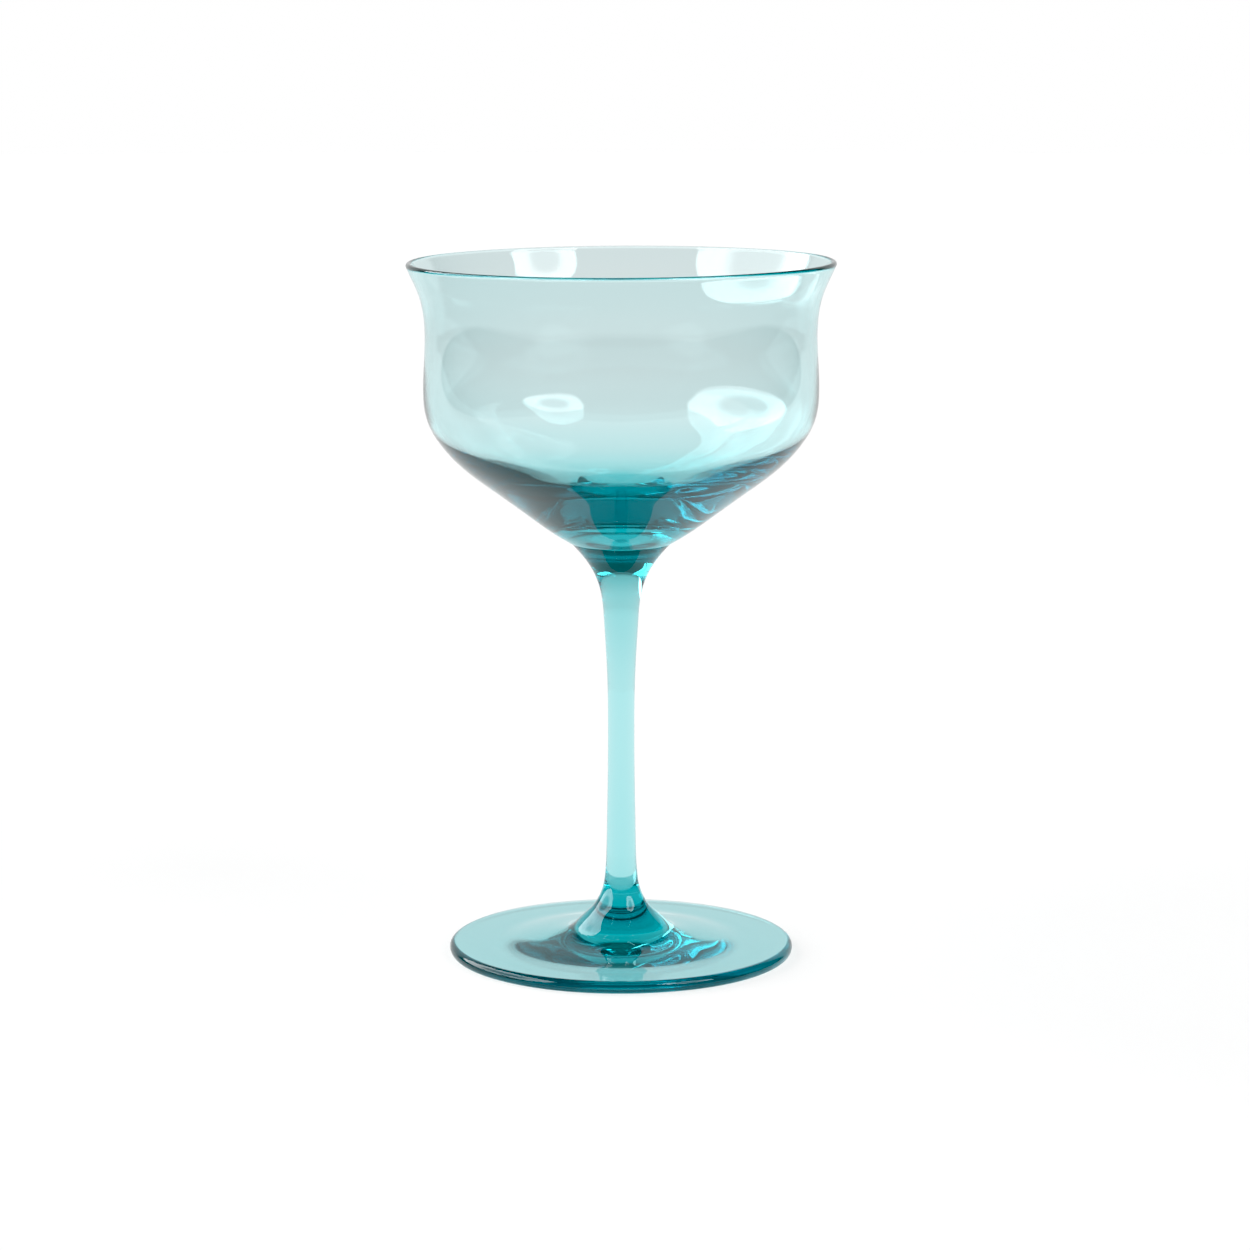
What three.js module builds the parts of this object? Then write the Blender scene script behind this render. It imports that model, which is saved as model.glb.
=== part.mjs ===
// Hand-blown coupe cocktail glass, in millimetres, +Z up.
//
// The origin is the centre of the circle that the foot rests on. The glass is three gathers of
// the same teal glass, fused end to end while hot: a blown bowl with a thick solid base, a drawn
// stem whose top flares into the bowl, and a flat foot that rises in a mound to meet the stem.
// Each gather is one solid of revolution, and neighbours meet face to face on a flat weld.

import * as THREE from 'three';

// Whole glass
const HEIGHT = 165;
const RADIAL_SEGMENTS = 48;

// Rim: a fire-polished half-round lip on a flared wall
const LIP_THICKNESS = 1.36;
const LIP_CENTRE_RADIUS = 49.42;
const LIP_FLARE = THREE.MathUtils.degToRad(23);

// Welds between the gathers
const BOWL_WELD = { radius: 11.6, height: 98.6 };
const FOOT_WELD = { radius: 6.05, height: 12 };

// Bowl: belly, waist and the lowest point of the conical inner floor
const BELLY = { radius: 46.3, height: 135.5, wall: 1.15 };
const WAIST = { radius: 45.8, height: 147.5, wall: 1.1 };
const FLOOR_HEIGHT = 105.3;

// Stem: the thinnest place of the drawn rod
const STEM_WAIST = { radius: 3.13, height: 55 };

// Foot: a disc with a rounded edge on a flat resting ring, slightly hollow underneath
const FOOT_RADIUS = 41;
const FOOT_EDGE_THICKNESS = 2.9;
const RESTING_RING_INNER_RADIUS = 33.5;
const UNDERSIDE_RISE = 0.4;

const glass = {
  color: new THREE.Color(0.22, 0.62, 0.66),
  roughness: 0.03,
  metalness: 0,
};

/** Points of a smooth curve through the given [radius, height] pairs. */
function smooth(pairs, divisions) {
  const curve = new THREE.SplineCurve(pairs.map(([radius, height]) => new THREE.Vector2(radius, height)));
  return curve.getPoints(divisions);
}

/** Points of a circular arc in the outline's plane, ends included. */
function arc(centreRadius, centreHeight, size, fromAngle, toAngle, divisions) {
  const points = [];
  for (let i = 0; i <= divisions; i += 1) {
    const angle = THREE.MathUtils.lerp(fromAngle, toAngle, i / divisions);
    points.push(new THREE.Vector2(
      centreRadius + size * Math.cos(angle),
      centreHeight + size * Math.sin(angle),
    ));
  }
  return points;
}

/** Drops a point that repeats the one before it. */
function withoutRepeats(points) {
  return points.filter((point, i) => i === 0 || point.distanceTo(points[i - 1]) > 1e-6);
}

/** A named glass solid turned about +Z from an outline that runs up the outside, axis to axis. */
function turned(name, outline) {
  const geometry = new THREE.LatheGeometry(withoutRepeats(outline), RADIAL_SEGMENTS);
  geometry.rotateX(Math.PI / 2);
  const mesh = new THREE.Mesh(geometry, new THREE.MeshStandardMaterial(glass));
  mesh.name = name;
  return mesh;
}

/** Blown bowl: thin flared wall, rounded shoulder, straight cone and a thick solid base. */
function makeBowl() {
  const lipRadius = LIP_THICKNESS / 2;
  const lip = arc(LIP_CENTRE_RADIUS, HEIGHT - lipRadius, lipRadius, -LIP_FLARE, Math.PI - LIP_FLARE, 6);
  const lipOutside = lip[0];
  const lipInside = lip[lip.length - 1];
  const outside = smooth([
    [BOWL_WELD.radius, BOWL_WELD.height],
    [15.6, 101],
    [21.3, 105],
    [29.3, 111],
    [37.2, 117],
    [42.7, 123],
    [45.5, 128.5],
    [BELLY.radius, BELLY.height],
    [WAIST.radius, WAIST.height],
    [47, 157],
    [lipOutside.x, lipOutside.y],
  ], 30);
  const inside = smooth([
    [lipInside.x, lipInside.y],
    [45.78, 157.3],
    [44.75, 152.1],
    [WAIST.radius - WAIST.wall, WAIST.height],
    [BELLY.radius - BELLY.wall, BELLY.height],
    [44.4, 129.4],
    [41.65, 124],
    [36.8, 119.4],
    [33, 116.8],
    [27, 113.95],
    [20, 110.3],
    [13, 107.25],
    [6, FLOOR_HEIGHT + 1.5],
    [0, FLOOR_HEIGHT],
  ], 36);
  return turned('bowl', [
    new THREE.Vector2(0, BOWL_WELD.height),
    ...outside,
    ...lip,
    ...inside,
  ]);
}

/** Drawn stem: spreads over the foot's mound below and flares under the bowl above. */
function makeStem() {
  const side = smooth([
    [FOOT_WELD.radius, FOOT_WELD.height],
    [4.75, 14.6],
    [3.85, 19],
    [3.45, 28],
    [STEM_WAIST.radius, STEM_WAIST.height],
    [3.45, 70],
    [4.05, 80],
    [5, 87.8],
    [7.4, 93.4],
    [BOWL_WELD.radius, BOWL_WELD.height],
  ], 28);
  return turned('stem', [
    new THREE.Vector2(0, FOOT_WELD.height),
    ...side,
    new THREE.Vector2(0, BOWL_WELD.height),
  ]);
}

/** Foot: nearly flat disc with a rounded edge, rising in a mound to the stem. */
function makeFoot() {
  const edgeRadius = FOOT_EDGE_THICKNESS / 2;
  const edgeCentre = FOOT_RADIUS - edgeRadius;
  const underside = smooth([
    [0, UNDERSIDE_RISE],
    [RESTING_RING_INNER_RADIUS * 0.5, UNDERSIDE_RISE * 0.75],
    [RESTING_RING_INNER_RADIUS, 0],
  ], 4);
  const edge = arc(edgeCentre, edgeRadius, edgeRadius, -Math.PI / 2, Math.PI / 2, 8);
  const top = smooth([
    [edgeCentre, FOOT_EDGE_THICKNESS],
    [31.5, 2.98],
    [27.5, 3.12],
    [24.5, 3.52],
    [20, 4.1],
    [14.5, 4.95],
    [12.1, 5.9],
    [10.3, 7.6],
    [7.3, 10.5],
    [FOOT_WELD.radius, FOOT_WELD.height],
  ], 16);
  return turned('foot', [
    ...underside,
    ...edge,
    ...top,
    new THREE.Vector2(0, FOOT_WELD.height),
  ]);
}

const cocktailGlass = new THREE.Group();
cocktailGlass.name = 'cocktail_glass';
cocktailGlass.add(makeBowl(), makeStem(), makeFoot());

export default cocktailGlass;
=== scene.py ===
"""Looks of a hand-blown teal cocktail glass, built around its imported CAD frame.

The glass is three gathers of one teal metal, fused hot: a thin blown bowl on a thick solid base, a
drawn stem that flares under the bowl, and a flat foot with a mound. Each gather is a closed solid of
revolution with a hand-made wobble, and every surface is clear glass that tints the light by depth.
"""

import logging
import math
from dataclasses import dataclass
from enum import Enum
from typing import Any, Sequence

import bmesh
import bpy
import numpy as np
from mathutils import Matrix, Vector, noise


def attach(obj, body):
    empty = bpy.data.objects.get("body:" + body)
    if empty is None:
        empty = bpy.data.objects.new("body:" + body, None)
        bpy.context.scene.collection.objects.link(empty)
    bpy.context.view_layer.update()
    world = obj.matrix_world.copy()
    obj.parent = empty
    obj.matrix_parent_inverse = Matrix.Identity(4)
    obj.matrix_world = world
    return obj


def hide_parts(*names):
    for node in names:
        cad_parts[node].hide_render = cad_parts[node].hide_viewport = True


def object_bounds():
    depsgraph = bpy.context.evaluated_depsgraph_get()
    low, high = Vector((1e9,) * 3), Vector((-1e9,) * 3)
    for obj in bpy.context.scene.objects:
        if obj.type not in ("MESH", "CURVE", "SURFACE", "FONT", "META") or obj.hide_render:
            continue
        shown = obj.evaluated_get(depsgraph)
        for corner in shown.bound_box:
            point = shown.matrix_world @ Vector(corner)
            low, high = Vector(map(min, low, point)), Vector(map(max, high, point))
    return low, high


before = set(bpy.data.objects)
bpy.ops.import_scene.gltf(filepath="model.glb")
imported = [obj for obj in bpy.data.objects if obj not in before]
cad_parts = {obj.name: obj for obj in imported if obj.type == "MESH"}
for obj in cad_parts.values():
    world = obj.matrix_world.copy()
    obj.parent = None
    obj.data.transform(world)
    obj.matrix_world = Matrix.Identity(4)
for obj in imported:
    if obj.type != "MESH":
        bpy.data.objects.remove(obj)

CAD_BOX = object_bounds()
MM = 0.001
SPIN_STEPS = 192
OUTLINE_STEP = 0.6
UNDERSIDE_STEP = 1.0
FLAT_STEP = 1.5
MERGE_DISTANCE = 0.001 * MM
SHARP_EDGE = math.radians(40)
WELD_GAP = 0.02

log = logging.getLogger("cocktail_glass")


# Outlines -------------------------------------------------------------------------------------

Point = tuple[float, float]


def direction(degrees_from_axis: float) -> Point:
    """Unit (radius, height) step that leans outwards from straight up by an angle in degrees."""
    lean = math.radians(degrees_from_axis)
    return (math.sin(lean), math.cos(lean))


def fair_curve(
    points: Sequence[Point], step: float, start: Point | None = None, end: Point | None = None
) -> list[Point]:
    """Runs one curve of unbroken curvature through the points.

    Args:
        points: the (radius, height) points that the curve passes through, in millimetres.
        step: the distance between the points that are given back, in millimetres.
        start: the unit direction in which the curve leaves its first point, or None to leave it free.
        end: the unit direction in which it reaches its last point, or None.

    Returns:
        Evenly spaced points of the curve, both ends included.
    """
    knots = np.array(points, float)
    spans = np.linalg.norm(np.diff(knots, axis=0), axis=1)
    at = np.concatenate([[0.0], np.cumsum(spans)])
    count = len(knots)
    matrix = np.zeros((count, count))
    right = np.zeros((count, 2))
    slopes = np.diff(knots, axis=0) / spans[:, None]
    for i in range(1, count - 1):
        matrix[i, i - 1 : i + 2] = spans[i - 1], 2 * (spans[i - 1] + spans[i]), spans[i]
        right[i] = 6 * (slopes[i] - slopes[i - 1])
    matrix[0, 0] = matrix[-1, -1] = 1.0
    if start is not None:
        matrix[0, :2] = 2 * spans[0], spans[0]
        right[0] = 6 * (slopes[0] - np.array(start))
    if end is not None:
        matrix[-1, -2:] = spans[-1], 2 * spans[-1]
        right[-1] = 6 * (np.array(end) - slopes[-1])
    bends = np.linalg.solve(matrix, right)
    places = np.linspace(0.0, at[-1], max(2, round(at[-1] / step)) + 1)
    curve = []
    for place in places:
        i = min(int(np.searchsorted(at, place, side="right")) - 1, count - 2)
        after, before = place - at[i], at[i + 1] - place
        value = (bends[i] * before**3 + bends[i + 1] * after**3) / (6 * spans[i])
        value += (knots[i] / spans[i] - bends[i] * spans[i] / 6) * before
        value += (knots[i + 1] / spans[i] - bends[i + 1] * spans[i] / 6) * after
        curve.append((float(value[0]), float(value[1])))
    return curve


def arc(centre: Point, radius: float, first: float, last: float, count: int) -> list[Point]:
    """Points of a circular arc from one angle to another, in degrees from straight outwards."""
    angles = [math.radians(first + (last - first) * i / count) for i in range(count + 1)]
    return [(centre[0] + radius * math.cos(a), centre[1] + radius * math.sin(a)) for a in angles]


def flat(inner: Point, outer: Point, step: float) -> list[Point]:
    """Evenly spaced points of a straight run, both ends included."""
    count = max(1, round(math.dist(inner, outer) / step))
    return [
        (inner[0] + (outer[0] - inner[0]) * i / count, inner[1] + (outer[1] - inner[1]) * i / count)
        for i in range(count + 1)
    ]


# Hand-made wobble -----------------------------------------------------------------------------


@dataclass(frozen=True)
class BlownByHand:
    """The small departures from a true turning that a gaffer's hands leave, in millimetres.

    The rim's tilt is its rise in each millimetre sideways.
    """

    rim_tilt: float = 0.005
    ripple: float = 0.10
    ripple_length: float = 24.0
    ripple_full_radius: float = 20.0
    base_height: float = 105.0
    rim_height: float = 165.0

    def moved(self, place: Vector) -> Vector:
        """Where a point of the true turning lies on the real glass.

        Args:
            place: the point in millimetres.

        Returns:
            The moved point in millimetres.
        """
        rise = max(0.0, min(1.0, (place.z - self.base_height) / (self.rim_height - self.base_height)))
        rise = rise * rise * (3 - 2 * rise)
        radius = math.hypot(place.x, place.y)
        swell = self.ripple * noise.noise(place / self.ripple_length)
        swell *= min(1.0, radius / self.ripple_full_radius)
        scale = 1.0 + swell / max(radius, 1.0)
        return Vector((place.x * scale, place.y * scale, place.z + place.x * self.rim_tilt * rise))


# Shader building ------------------------------------------------------------------------------


class Signal:
    """A shader socket that adds Math nodes when it is used in a Python expression."""

    def __init__(self, graph: "Graph", socket: bpy.types.NodeSocket) -> None:
        """Wraps one output socket of the graph."""
        self.graph = graph
        self.socket = socket

    def _math(self, operation: str, *values: Any) -> "Signal":
        """One Math node on the values."""
        return self.graph.add("ShaderNodeMath", {"operation": operation}, dict(enumerate(values)))

    def __add__(self, other: Any) -> "Signal":
        """Sum."""
        return self._math("ADD", self, other)

    def __radd__(self, other: Any) -> "Signal":
        """Sum with the number first."""
        return self._math("ADD", other, self)

    def __sub__(self, other: Any) -> "Signal":
        """Difference."""
        return self._math("SUBTRACT", self, other)

    def __rsub__(self, other: Any) -> "Signal":
        """Difference with the number first."""
        return self._math("SUBTRACT", other, self)

    def __mul__(self, other: Any) -> "Signal":
        """Product."""
        return self._math("MULTIPLY", self, other)

    def __rmul__(self, other: Any) -> "Signal":
        """Product with the number first."""
        return self._math("MULTIPLY", other, self)

    def __truediv__(self, other: Any) -> "Signal":
        """Quotient."""
        return self._math("DIVIDE", self, other)

    def __abs__(self) -> "Signal":
        """Size without its sign."""
        return self._math("ABSOLUTE", self)

    def larger(self, other: Any) -> "Signal":
        """The larger of the two."""
        return self._math("MAXIMUM", self, other)

    def below(self, other: Any) -> "Signal":
        """1 where this is less than the other, else 0."""
        return self._math("LESS_THAN", self, other)

    def power(self, exponent: float) -> "Signal":
        """Raised to a power."""
        return self._math("POWER", self, exponent)

    def angle_from(self, other: Any) -> "Signal":
        """Angle in radians whose sine goes with this and whose cosine goes with the other."""
        return self._math("ARCTAN2", self, other)

    def angle_of_sine(self) -> "Signal":
        """Angle in radians whose sine is this."""
        return self._math("ARCSINE", self)

    def between(self, zero: Any, one: Any) -> "Signal":
        """The first value where this is 0 and the second where it is 1."""
        return zero + (one - zero) * self

    def ramp(self, low: float, high: float) -> "Signal":
        """Goes smoothly from 0 at low to 1 at high."""
        return self.graph.add(
            "ShaderNodeMapRange",
            {"interpolation_type": "SMOOTHSTEP"},
            {"Value": self, "From Min": low, "From Max": high},
        )


class Graph:
    """A node tree that is filled by one method."""

    def __init__(self, tree: bpy.types.NodeTree) -> None:
        """Empties the tree."""
        self.tree = tree
        tree.nodes.clear()

    def add(
        self, kind: str, settings: dict[str, Any] | None = None, inputs: dict[Any, Any] | None = None
    ) -> Signal:
        """Adds one node.

        Args:
            kind: the node's type.
            settings: properties of the node, set before its sockets.
            inputs: socket name or number to a number, a tuple or a Signal.

        Returns:
            The node's first enabled output, or an unlinked Signal for an output node.
        """
        node = self.tree.nodes.new(kind)
        for name, value in (settings or {}).items():
            setattr(node, name, value)
        for name, value in (inputs or {}).items():
            if isinstance(value, Signal):
                self.tree.links.new(value.socket, node.inputs[name])
            else:
                node.inputs[name].default_value = value
        outputs = [s for s in node.outputs if s.enabled]
        return Signal(self, outputs[0]) if outputs else Signal(self, node.inputs[0])

    def output(self, signal: Signal, name: str) -> Signal:
        """Another output of the node that a signal comes from."""
        return Signal(self, signal.socket.node.outputs[name])


# Finishes -------------------------------------------------------------------------------------


@dataclass(frozen=True)
class TealGlass:
    """Clear teal soda glass that is tinted through its depth.

    The absorption is what is lost in each millimetre of red, green and blue light. The weld reach is
    how far from a weld the surface is left open, as a share of the gap between the two gathers.
    """

    name: str
    welds: tuple[float, ...]
    ior: float = 1.51
    roughness: float = 0.0
    absorption: tuple[float, float, float] = (0.122, 0.0265, 0.0225)
    weld_reach: float = 0.75

    def make(self) -> bpy.types.Material:
        """Makes the material, open at the piece's welds so that fused glass shows no seam."""
        material = bpy.data.materials.new(self.name)
        material.use_nodes = True
        graph = Graph(material.node_tree)
        strongest = max(self.absorption)
        passed = tuple(1 - lost / strongest for lost in self.absorption)
        surface = graph.add(
            "ShaderNodeBsdfPrincipled",
            {},
            {
                "Base Color": (1, 1, 1, 1),
                "Roughness": self.roughness,
                "IOR": self.ior,
                "Transmission Weight": 1.0,
            },
        )
        depth = graph.add(
            "ShaderNodeVolumeAbsorption",
            {},
            {"Color": (*passed, 1), "Density": strongest / MM},
        )
        place = graph.output(graph.add("ShaderNodeTexCoord"), "Object")
        height = graph.output(graph.add("ShaderNodeSeparateXYZ", {}, {0: place}), "Z")
        weld = None
        for level in self.welds:
            here = abs(height - level * MM).below(self.weld_reach * WELD_GAP * MM)
            weld = here if weld is None else weld.larger(here)
        clear = graph.add("ShaderNodeBsdfTransparent")
        fused = graph.add("ShaderNodeMixShader", {}, {0: weld, 1: surface, 2: clear})
        outputs = {}
        for target, face in (("ALL", surface), ("CYCLES", fused)):
            ends = {"Surface": face, "Volume": depth}
            outputs[target] = graph.add("ShaderNodeOutputMaterial", {"target": target}, ends)
        outputs["ALL"].socket.node.is_active_output = True
        return material


# Pieces of the glass --------------------------------------------------------------------------


@dataclass(frozen=True)
class Weld:
    """A flat face on which two gathers are fused: its radius and height, in millimetres."""

    radius: float
    height: float


BOWL_WELD = Weld(radius=11.6, height=98.6)
FOOT_WELD = Weld(radius=6.05, height=12.0)
FOOT_WELD_FLANK = (-0.50, 0.866)


class Gather:
    """One gather of glass, turned from an outline and then moved as a hand would leave it."""

    node: str
    slot: str

    def outline(self) -> list[Point]:
        """The (radius, height) points of the outline, from axis to axis, in millimetres."""
        raise NotImplementedError

    def build(self, hand: BlownByHand) -> bpy.types.Object:
        """Turns the outline into a closed mesh.

        Args:
            hand: the wobble that every gather shares.

        Returns:
            The piece, at the origin with its place in its mesh.
        """
        work = bmesh.new()
        outline = self.outline()
        points = [work.verts.new((radius * MM, 0, height * MM)) for radius, height in outline]
        edges = [work.edges.new(pair) for pair in zip(points, points[1:])]
        bmesh.ops.spin(
            work,
            geom=points + edges,
            cent=(0, 0, 0),
            axis=(0, 0, 1),
            angle=2 * math.pi,
            steps=SPIN_STEPS,
            use_merge=True,
        )
        bmesh.ops.remove_doubles(work, verts=work.verts, dist=MERGE_DISTANCE)
        bmesh.ops.recalc_face_normals(work, faces=work.faces)
        for vert in work.verts:
            vert.co = hand.moved(vert.co / MM) * MM
        for face in work.faces:
            face.smooth = True
        for edge in work.edges:
            if len(edge.link_faces) == 2 and edge.calc_face_angle(0.0) > SHARP_EDGE:
                edge.smooth = False
        mesh = bpy.data.meshes.new(self.node)
        work.to_mesh(mesh)
        work.free()
        piece = bpy.data.objects.new(f"{self.node}_glass", mesh)
        bpy.context.scene.collection.objects.link(piece)
        return piece

    def finish(self, piece: bpy.types.Object, material: bpy.types.Material) -> None:
        """Dresses the piece and ties it to the frame."""
        piece.data.materials.append(material)
        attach(piece, "root")
        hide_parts(self.node)
        log.info("%s: %d faces", piece.name, len(piece.data.polygons))


@dataclass(frozen=True)
class Bowl(Gather):
    """Blown bowl: thin flared wall, rounded shoulder, straight cone and a thick solid base."""

    node: str = "bowl"
    slot: str = "bowl_glass"
    lip_centre: Point = (49.42, 164.32)
    lip_radius: float = 0.68
    lip_lean: float = 23.0
    lip_steps: int = 14

    def outline(self) -> list[Point]:
        """Weld face, outside of the wall, lip, inside of the wall and floor."""
        first, last = -self.lip_lean, 180.0 - self.lip_lean
        lip = arc(self.lip_centre, self.lip_radius, first, last, self.lip_steps)
        weld_height = BOWL_WELD.height + WELD_GAP / 2
        outside = fair_curve(
            [
                (BOWL_WELD.radius, weld_height),
                (15.5, 100.95),
                (21.2, 105.0),
                (29.3, 111.0),
                (37.2, 117.0),
                (42.7, 123.0),
                (45.5, 128.4),
                (46.3, 135.5),
                (45.8, 147.5),
                (47.0, 157.0),
                lip[0],
            ],
            OUTLINE_STEP,
            end=direction(self.lip_lean),
        )
        inside = fair_curve(
            [
                lip[-1],
                (45.78, 157.3),
                (44.75, 152.1),
                (44.7, 147.5),
                (45.15, 135.5),
                (44.4, 129.4),
                (41.65, 124.0),
                (36.8, 119.4),
                (33.0, 116.8),
                (27.0, 113.95),
                (20.0, 110.3),
                (13.0, 107.25),
                (6.0, 106.8),
                (0.0, 105.3),
            ],
            OUTLINE_STEP,
            start=direction(180.0 + self.lip_lean),
            end=(-1.0, 0.0),
        )
        face = flat((0.0, weld_height), (BOWL_WELD.radius, weld_height), FLAT_STEP)
        return face + outside[1:-1] + lip + inside[1:]


@dataclass(frozen=True)
class Stem(Gather):
    """Drawn stem: slim in the middle, flared under the bowl and spread over the foot."""

    node: str = "stem"
    slot: str = "stem_glass"

    def outline(self) -> list[Point]:
        """Weld face on the foot, side of the rod, and weld face under the bowl."""
        low = FOOT_WELD.height + WELD_GAP / 2
        high = BOWL_WELD.height - WELD_GAP / 2
        side = fair_curve(
            [
                (FOOT_WELD.radius, low),
                (4.75, 14.6),
                (3.85, 19.0),
                (3.45, 28.0),
                (3.13, 55.0),
                (3.45, 70.0),
                (4.05, 80.0),
                (5.0, 87.8),
                (7.4, 93.4),
                (BOWL_WELD.radius, high),
            ],
            OUTLINE_STEP,
            start=FOOT_WELD_FLANK,
        )
        bottom = flat((0.0, low), (FOOT_WELD.radius, low), FLAT_STEP)
        top = flat((BOWL_WELD.radius, high), (0.0, high), FLAT_STEP)
        return bottom + side[1:-1] + top


@dataclass(frozen=True)
class Foot(Gather):
    """Foot: nearly flat disc with a rounded edge, rising in a mound to the stem."""

    node: str = "foot"
    slot: str = "foot_glass"
    radius: float = 41.0
    edge_thickness: float = 2.9
    edge_steps: int = 18
    resting_ring: float = 33.5
    underside_rise: float = 0.4
    underside_shoulder: Point = (17.0, 0.28)

    def outline(self) -> list[Point]:
        """Hollow underside, resting ring, rounded edge, top and weld face."""
        edge_radius = self.edge_thickness / 2
        edge_centre = self.radius - edge_radius
        top_height = FOOT_WELD.height - WELD_GAP / 2
        hollow = fair_curve(
            [(0.0, self.underside_rise), self.underside_shoulder, (self.resting_ring, 0.0)],
            UNDERSIDE_STEP,
            start=(1.0, 0.0),
            end=(1.0, 0.0),
        )
        ring = flat((self.resting_ring, 0.0), (edge_centre, 0.0), UNDERSIDE_STEP)
        edge = arc((edge_centre, edge_radius), edge_radius, -90.0, 90.0, self.edge_steps)
        top = fair_curve(
            [
                (edge_centre, self.edge_thickness),
                (31.5, 2.98),
                (27.5, 3.12),
                (24.5, 3.52),
                (20.0, 4.1),
                (14.5, 4.95),
                (12.1, 5.9),
                (10.3, 7.6),
                (7.3, 10.5),
                (FOOT_WELD.radius, top_height),
            ],
            OUTLINE_STEP,
            start=(-1.0, 0.0),
            end=FOOT_WELD_FLANK,
        )
        face = flat((FOOT_WELD.radius, top_height), (0.0, top_height), FLAT_STEP)
        return hollow + ring[1:-1] + edge + top[1:-1] + face


# Studio ---------------------------------------------------------------------------------------


@dataclass(frozen=True)
class Softbox:
    """A soft light far off: its span of azimuth and elevation in degrees, and its radiance.

    Azimuth 0 is towards the camera, and grows to the camera's right. The lamp's own body makes
    the middle of the box dimmer, by the share that core leaves.
    """

    azimuth: tuple[float, float]
    elevation: tuple[float, float]
    radiance: float
    core: float
    squareness: float = 3.0
    edge_starts: float = 0.86
    lamp_body: tuple[float, float] = (0.42, 0.12)

    def glow(self, azimuth: Signal, elevation: Signal) -> Signal:
        """Radiance of the box in each direction, with rounded corners."""
        offsets = []
        for angle, span in ((azimuth, self.azimuth), (elevation, self.elevation)):
            offsets.append(abs(angle - (span[0] + span[1]) / 2) / ((span[1] - span[0]) / 2))
        outer = offsets[0].power(self.squareness) + offsets[1].power(self.squareness)
        inner = offsets[0] * offsets[0] + offsets[1] * offsets[1]
        lamp = inner.ramp(*self.lamp_body)
        return outer.ramp(1.0, self.edge_starts) * (1 - (1 - self.core) * lamp) * self.radiance


class Surround(Enum):
    """Radiance of the plain parts of the room."""

    PAPER_NEAR = 0.97
    PAPER_FAR = 0.83
    SWEEP_TOP = 0.70
    ROOM = 0.12
    SEEN = 1.0


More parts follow.
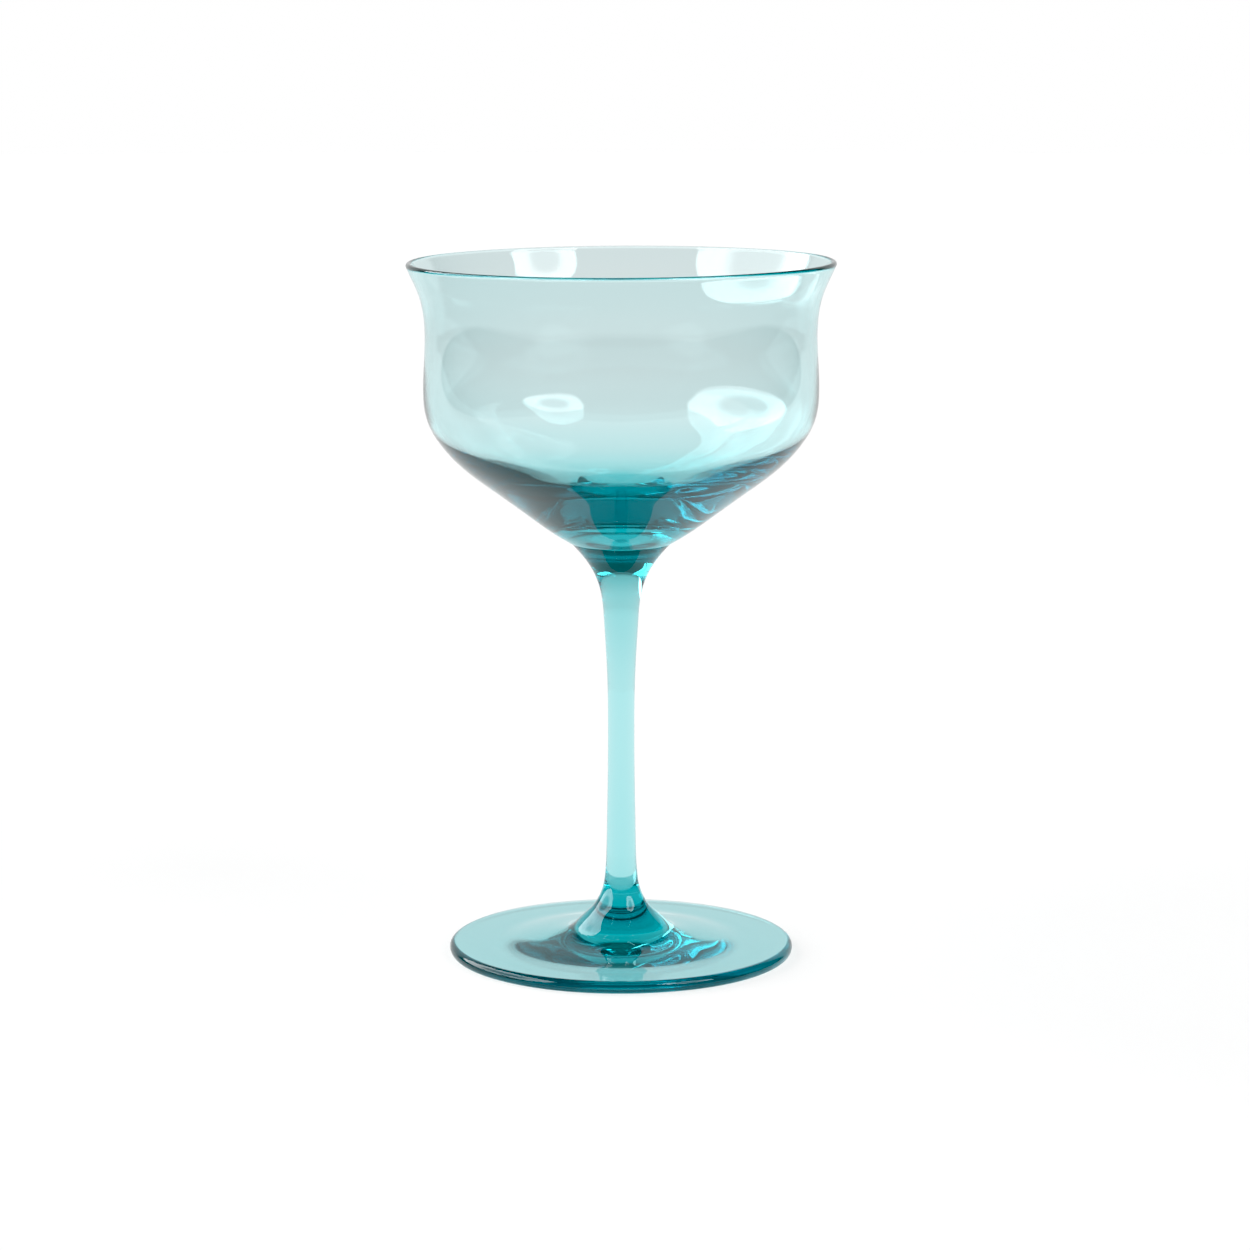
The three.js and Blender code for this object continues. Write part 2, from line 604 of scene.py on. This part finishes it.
@dataclass(frozen=True)
class Studio:
    """Pale paper that runs up behind the glass, a dim room, two softboxes and the camera.

    Lengths are in metres and angles in degrees. A pair of numbers is where a change of tone starts
    and where it ends.
    """

    boxes: tuple[Softbox, ...] = (
        Softbox((-141, -50), (7, 58), 4.6, 0.35),
        Softbox((30, 74), (26, 62), 4.6, 0.35),
    )
    table_radius: float = 4.0
    table_sides: int = 96
    table_drop: float = 0.0002
    table_tone: float = 0.98
    table_glow: float = 0.75
    sweep_half_width: float = 42.0
    sweep_blur: float = 4.0
    sweep_top: tuple[float, float] = (40.0, 26.0)
    sweep_tones: tuple[float, float] = (0.0, 24.0)
    paper_side: float = 0.60
    paper_front: float = 0.60
    paper_blur: float = 0.05
    paper_glow_fade: tuple[float, float] = (0.3, 1.6)
    # Painted shadow: the paper under the foot glows teal and dim, as if lit through the glass.
    foot_shadow_radius: float = 0.0408
    foot_shadow_blur: float = 0.0005
    foot_shadow_tint: tuple[float, float, float] = (0.55, 0.79, 0.81)
    camera_distance: float = 0.8974
    camera_height: float = 0.2330
    camera_side: float = 0.0009
    aim_height: float = 0.0791
    lens: float = 110.97
    sensor_width: float = 36.0
    red_floor: float = 0.03
    bounces: int = 48
    glass_bounces: int = 40

    @staticmethod
    def straight_through(graph: Graph) -> Signal:
        """1 for a ray that no glass surface has reflected on its way, else 0."""
        return graph.output(graph.add("ShaderNodeLightPath"), "Glossy Depth").below(0.5)

    def light(self) -> None:
        """Fills the world: the sweep behind the glass, the dim room and the softboxes in it."""
        world = bpy.data.worlds.new("studio")
        bpy.context.scene.world = world
        world.use_nodes = True
        graph = Graph(world.node_tree)
        towards = graph.output(graph.add("ShaderNodeTexCoord"), "Generated")
        parts = graph.add("ShaderNodeSeparateXYZ", {}, {0: towards})
        x, y, z = (graph.output(parts, axis) for axis in "XYZ")
        azimuth = x.angle_from(0.0 - y) * math.degrees(1.0)
        elevation = z.angle_of_sine() * math.degrees(1.0)
        starts, ends = self.sweep_half_width + self.sweep_blur, self.sweep_half_width - self.sweep_blur
        behind = (180 - abs(azimuth)).ramp(starts, ends)
        sweep = behind.larger(self.straight_through(graph)) * elevation.ramp(*self.sweep_top)
        tone = elevation.ramp(*self.sweep_tones)
        tone = tone.between(Surround.PAPER_FAR.value, Surround.SWEEP_TOP.value)
        radiance = sweep.between(Surround.ROOM.value, tone)
        for box in self.boxes:
            radiance = radiance + box.glow(azimuth, elevation)
        seen = graph.output(graph.add("ShaderNodeLightPath"), "Is Camera Ray")
        lit = graph.add("ShaderNodeBackground", {}, {"Color": radiance})
        white = graph.add("ShaderNodeBackground", {}, {"Color": (Surround.SEEN.value,) * 3 + (1,)})
        mixed = graph.add("ShaderNodeMixShader", {}, {0: seen, 1: lit, 2: white})
        graph.add("ShaderNodeOutputWorld", {}, {"Surface": mixed})

    def table(self) -> None:
        """The pale table that the glass stands on."""
        work = bmesh.new()
        bmesh.ops.create_circle(
            work, cap_ends=True, segments=self.table_sides, radius=self.table_radius
        )
        mesh = bpy.data.meshes.new("table")
        work.to_mesh(mesh)
        work.free()
        table = bpy.data.objects.new("table", mesh)
        bpy.context.scene.collection.objects.link(table)
        table.location.z = CAD_BOX[0].z - self.table_drop
        material = bpy.data.materials.new("table_paper")
        material.use_nodes = True
        self.paper(Graph(material.node_tree))
        mesh.materials.append(material)

    def paper(self, graph: Graph) -> None:
        """Paper under and behind the glass as painted glow that ends in front and at the sides."""
        seen = graph.output(graph.add("ShaderNodeLightPath"), "Is Camera Ray")
        # Painted light: to the camera the paper is 3/4 glow, which fades the glass's cast shadows.
        sheet = graph.add("ShaderNodeBsdfDiffuse", {}, {"Color": (self.table_tone,) * 3 + (1,)})
        glow = graph.add("ShaderNodeEmission", {}, {"Color": (1, 1, 1, 1)})
        shaded = graph.add("ShaderNodeMixShader", {}, {0: self.table_glow, 1: sheet, 2: glow})
        place = graph.output(graph.add("ShaderNodeTexCoord"), "Object")
        parts = graph.add("ShaderNodeSeparateXYZ", {}, {0: place})
        x, y = (graph.output(parts, axis) for axis in "XY")
        spread = y.larger(0.0) * math.tan(math.radians(self.sweep_half_width))
        outside, inside = 1 + self.paper_blur, 1 - self.paper_blur
        on_paper = (abs(x) - spread).ramp(self.paper_side * outside, self.paper_side * inside)
        on_paper = on_paper * y.ramp(-self.paper_front * outside, -self.paper_front * inside)
        on_paper = on_paper.larger(self.straight_through(graph))
        # Painted light: the paper glows less the farther it lies behind the glass.
        tone = y.ramp(*self.paper_glow_fade)
        tone = tone.between(Surround.PAPER_NEAR.value, Surround.PAPER_FAR.value)
        radiance = on_paper.between(Surround.ROOM.value, tone)
        # Painted shadow: under the foot the paper glows teal and dim, as if lit through the glass.
        under = (x * x + y * y).power(0.5)
        under = under.ramp(self.foot_shadow_radius + self.foot_shadow_blur, self.foot_shadow_radius - self.foot_shadow_blur)
        shares = [radiance * under.between(1.0, share) for share in self.foot_shadow_tint]
        colour = graph.add("ShaderNodeCombineXYZ", {}, dict(enumerate(shares)))
        # Painted light: to every other ray the paper is no lit sheet but glows by itself.
        lit = graph.add("ShaderNodeEmission", {}, {"Color": colour})
        mixed = graph.add("ShaderNodeMixShader", {}, {0: seen, 1: lit, 2: shaded})
        graph.add("ShaderNodeOutputMaterial", {}, {"Surface": mixed})

    def camera(self) -> None:
        """The camera, a little above the rim and looking down at the middle of the glass."""
        data = bpy.data.cameras.new("camera")
        data.lens = self.lens
        data.sensor_width = self.sensor_width
        camera = bpy.data.objects.new("camera", data)
        bpy.context.scene.collection.objects.link(camera)
        camera.location = (self.camera_side, -self.camera_distance, self.camera_height)
        aim = Vector((self.camera_side, 0.0, self.aim_height))
        camera.rotation_euler = (aim - camera.location).to_track_quat("-Z", "Y").to_euler()
        bpy.context.scene.camera = camera

    def tune(self) -> None:
        """Lets light pass through many glass surfaces, and clips deep teal as a camera does."""
        scene = bpy.context.scene
        settings = scene.view_settings
        settings.view_transform = "Standard"
        settings.use_curve_mapping = True
        settings.curve_mapping.black_level = (self.red_floor, 0.0, 0.0)
        settings.curve_mapping.update()
        cycles = scene.cycles
        cycles.max_bounces = self.bounces
        cycles.glossy_bounces = self.glass_bounces
        cycles.transmission_bounces = self.glass_bounces
        cycles.transparent_max_bounces = self.glass_bounces

    def set_up(self) -> None:
        """Makes everything round the glass."""
        self.camera()
        self.light()
        self.table()
        self.tune()


def main() -> None:
    """Builds the studio and the three gathers."""
    logging.basicConfig(level=logging.INFO, format="%(name)s %(message)s")
    Studio().set_up()
    hand = BlownByHand()
    welds = {
        "bowl": (BOWL_WELD.height,),
        "stem": (FOOT_WELD.height, BOWL_WELD.height),
        "foot": (FOOT_WELD.height,),
    }
    for gather in (Bowl(), Stem(), Foot()):
        piece = gather.build(hand)
        gather.finish(piece, TealGlass(gather.slot, welds[gather.node]).make())


if __name__ == "__main__":
    main()
